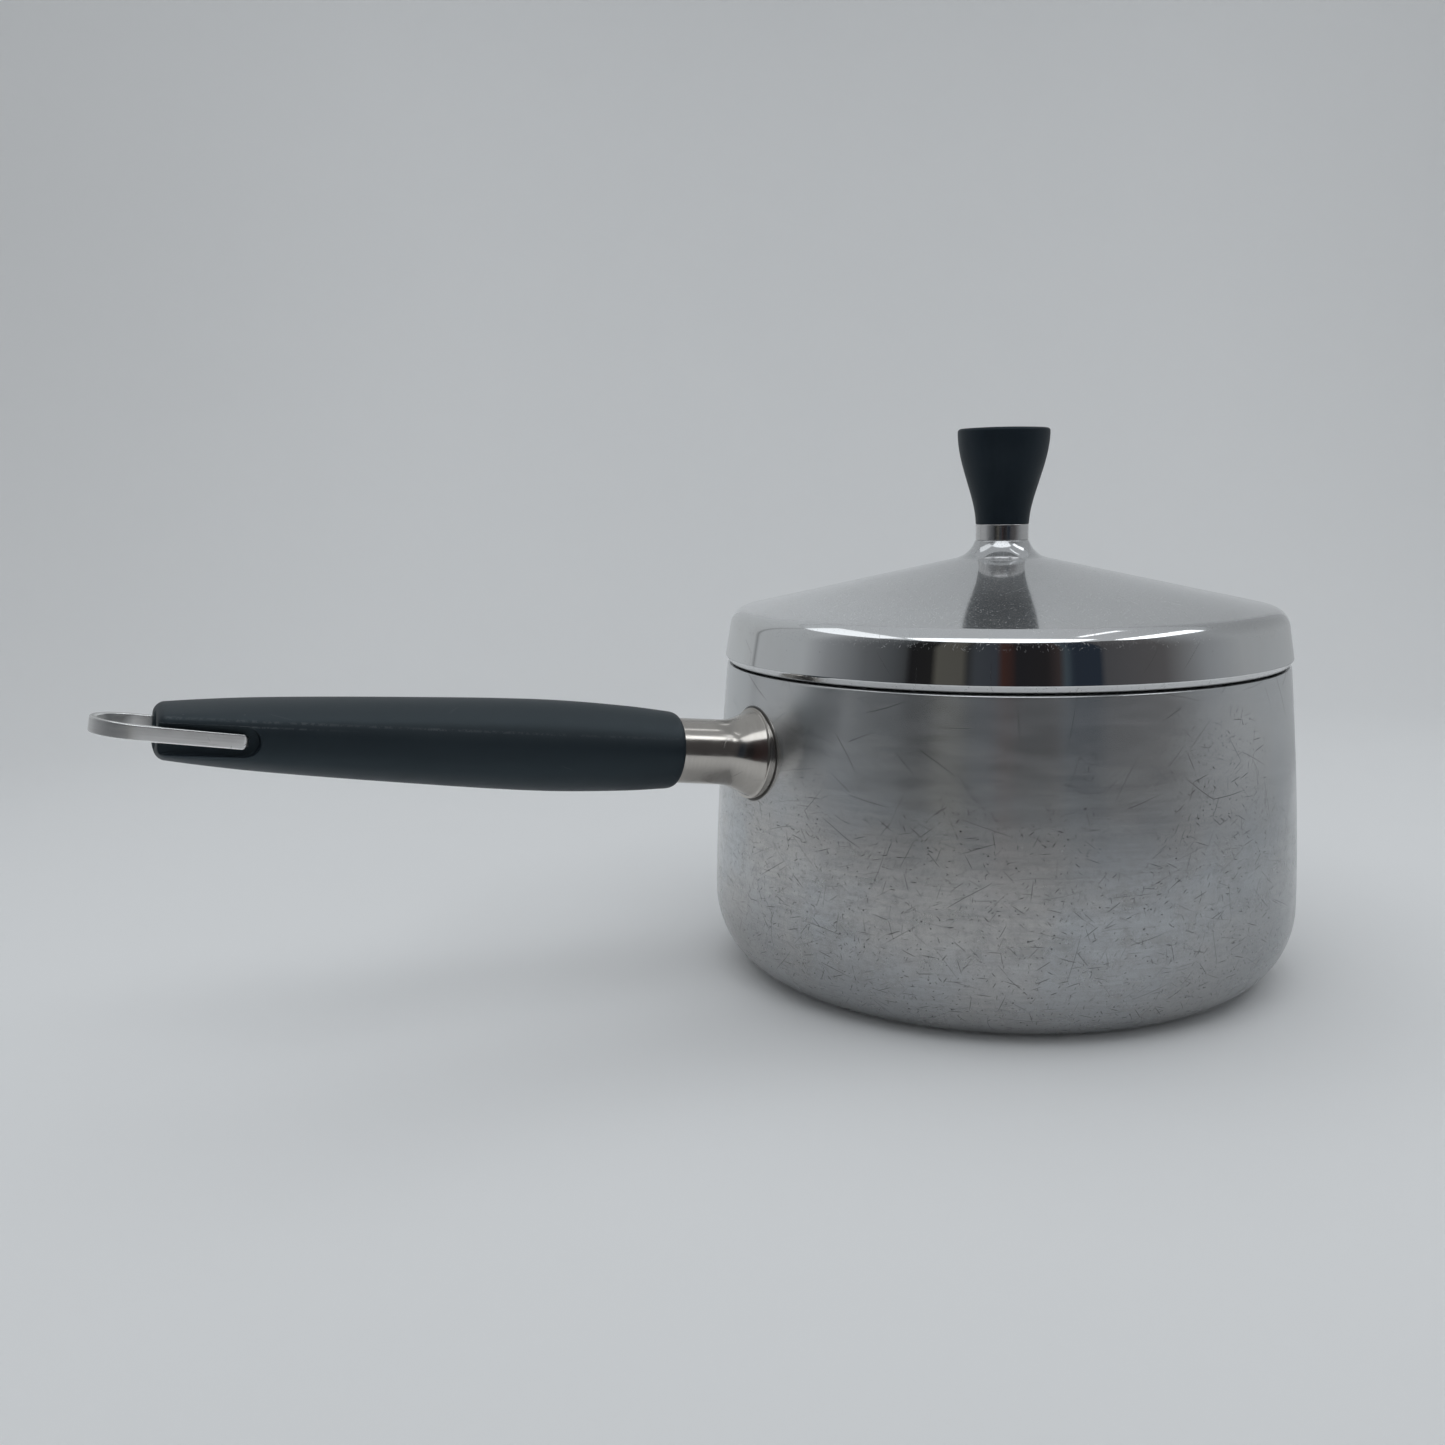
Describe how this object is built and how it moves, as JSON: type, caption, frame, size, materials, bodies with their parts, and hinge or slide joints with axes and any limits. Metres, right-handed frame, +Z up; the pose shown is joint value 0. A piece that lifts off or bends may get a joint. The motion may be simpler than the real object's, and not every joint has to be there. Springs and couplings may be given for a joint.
{
  "type": "saucepan with lid",
  "caption": "Round aluminium saucepan with a bulging wall, a conical metal lid with a flared black knob, and a long black handle that ends in a steel hanging ring.",
  "frame": {"origin": "centre of the pan's base, on the surface that it stands on", "axes": "+Z up along the pan's axis; the handle points along -X"},
  "size_m": [0.3671, 0.187, 0.173],
  "materials": {
    "pan_aluminium": "satin",
    "bracket_steel": "satin",
    "rivet_aluminium": "satin",
    "guard_steel": "satin",
    "grip_black": "matte",
    "fastener_steel": "satin",
    "ring_steel": "satin",
    "lid_aluminium": "polished",
    "collar_chrome": "satin",
    "insert_brass": "satin",
    "knob_black": "matte"
  },
  "bodies": {
    "pan": {"pan_shell": "pan_aluminium", "handle_bracket": "bracket_steel", "bracket_rivets": "rivet_aluminium", "flame_guard": "guard_steel", "handle_grip": "grip_black", "handle_screw": "fastener_steel", "handle_washer": "fastener_steel"},
    "ring": {"hanging_ring": "ring_steel"},
    "lid": {"lid_shell": "lid_aluminium", "knob_washer": "fastener_steel", "knob_screw": "fastener_steel", "knob_collar": "collar_chrome", "knob_insert": "insert_brass", "lid_knob": "knob_black"}
  },
  "joints": [
    {"name": "lid_lift", "type": "slide", "parent": "pan", "child": "lid", "axis": [0, 0, 1], "range_m": [0, 0.12]},
    {"name": "ring_swing", "type": "hinge", "parent": "pan", "child": "ring", "pos_m": [-0.23833, 0, 0.09367], "axis": [0, 1, 0], "range_deg": [-7, 1.5]}
  ]
}
